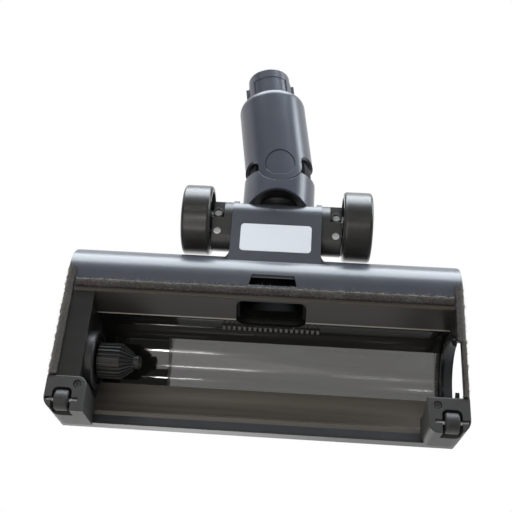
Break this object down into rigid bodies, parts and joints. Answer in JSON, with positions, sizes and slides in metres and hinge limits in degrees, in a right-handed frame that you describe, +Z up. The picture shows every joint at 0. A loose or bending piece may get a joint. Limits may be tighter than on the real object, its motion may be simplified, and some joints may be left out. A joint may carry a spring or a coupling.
{
  "type": "vacuum floor brush head",
  "caption": "Powered vacuum floor head with open roller chamber, smoked window, ribbed drive coupling, felt strips, rear wheels, and a neck that pitches and swivels to a plug end; roller absent",
  "frame": {"origin": "On the floor, under the middle of the part's box.", "axes": "+Z up; -Y is the front, where the roller chamber opens; +Y is the way the neck points; +X is the drive side."},
  "size_m": [0.26, 0.2844, 0.0627],
  "materials": {
    "body_grey": "fine matt moulded plastic, blue-grey",
    "sole_grey": "matt moulded plastic, dark warm grey",
    "liner_black": "polished black plastic",
    "smoked_clear": "clear smoked plastic",
    "duct_black": "matt black plastic",
    "felt": "dark grey felt",
    "roller_rubber": "hard dark rubber",
    "steel": "plain steel",
    "coupling_grey": "dark glass-filled plastic",
    "belt_rubber": "black ribbed rubber",
    "motor_steel": "zinc-plated can",
    "board_green": "lacquered circuit board",
    "label_white": "bare white label stock",
    "wheel_grey": "dark grey plastic with a soft tread",
    "hose_black": "soft black corrugated hose",
    "contact_black": "black plastic",
    "contact_brass": "brass"
  },
  "bodies": {
    "head": {"main_housing": "body_grey", "hood": "body_grey", "carrier_lower": "body_grey", "carrier_upper": "body_grey", "corner_block_left": "sole_grey", "corner_block_right": "sole_grey", "end_collar": "sole_grey", "chamber_liner": "liner_black", "window": "smoked_clear", "inlet_duct": "duct_black", "hair_comb": "duct_black", "felt_rear": "felt", "felt_left": "felt", "felt_right": "felt", "block_screws": "steel", "carrier_screws": "steel", "roller_pin_left": "steel", "roller_pin_right": "steel", "axle_pin_left": "steel", "axle_pin_right": "steel", "coupling_bearing": "steel", "drive_flange": "coupling_grey", "drive_belt": "belt_rubber", "motor": "motor_steel", "control_board": "board_green", "label": "label_white", "hose": "hose_black"},
    "yoke": {"yoke": "body_grey", "hose_cuff": "duct_black"},
    "neck": {"neck_shell": "body_grey", "neck_sleeve": "duct_black", "pivot_pin_lower": "body_grey", "pivot_pin_upper": "body_grey", "spigot": "body_grey", "contact_block": "contact_black", "contact_pins": "contact_brass"},
    "wheel_left": {"wheel_left": "wheel_grey"},
    "wheel_right": {"wheel_right": "wheel_grey"},
    "front_roller_left": {"front_roller_left": "roller_rubber"},
    "front_roller_right": {"front_roller_right": "roller_rubber"},
    "coupling": {"drive_coupling": "coupling_grey", "drive_pulley": "coupling_grey"},
    "pinion": {"motor_pinion": "motor_steel"}
  },
  "joints": [
    {"name": "neck_pitch", "type": "hinge", "parent": "head", "child": "yoke", "pos_m": [-0.006, 0.00826, 0.025], "axis": [1, 0, 0], "range_deg": [0, 75], "deforming": ["hose"]},
    {"name": "neck_swivel", "type": "hinge", "parent": "yoke", "child": "neck", "pos_m": [-0.006, 0.04756, 0.0285], "axis": [0, 0, 1], "range_deg": [-16.6, 33.4]},
    {"name": "wheel_left_spin", "type": "hinge", "parent": "head", "child": "wheel_left", "pos_m": [0.05, 0.00826, 0.025], "axis": [1, 0, 0], "continuous": true},
    {"name": "wheel_right_spin", "type": "hinge", "parent": "head", "child": "wheel_right", "pos_m": [-0.062, 0.00826, 0.025], "axis": [1, 0, 0], "continuous": true},
    {"name": "front_roller_left_spin", "type": "hinge", "parent": "head", "child": "front_roller_left", "pos_m": [0.1188, -0.13504, 0.0064], "axis": [1, 0, 0], "continuous": true},
    {"name": "front_roller_right_spin", "type": "hinge", "parent": "head", "child": "front_roller_right", "pos_m": [-0.1188, -0.13504, 0.0064], "axis": [1, 0, 0], "continuous": true},
    {"name": "drive_spin", "type": "hinge", "parent": "head", "child": "coupling", "pos_m": [0.098, -0.10124, 0.0245], "axis": [1, 0, 0], "continuous": true},
    {"name": "pinion_spin", "type": "hinge", "parent": "head", "child": "pinion", "pos_m": [0.122, -0.04424, 0.0285], "axis": [1, 0, 0], "continuous": true}
  ],
  "couplings": [
    {"joint": "pinion_spin", "follows": "drive_spin", "ratio": 2}
  ]
}
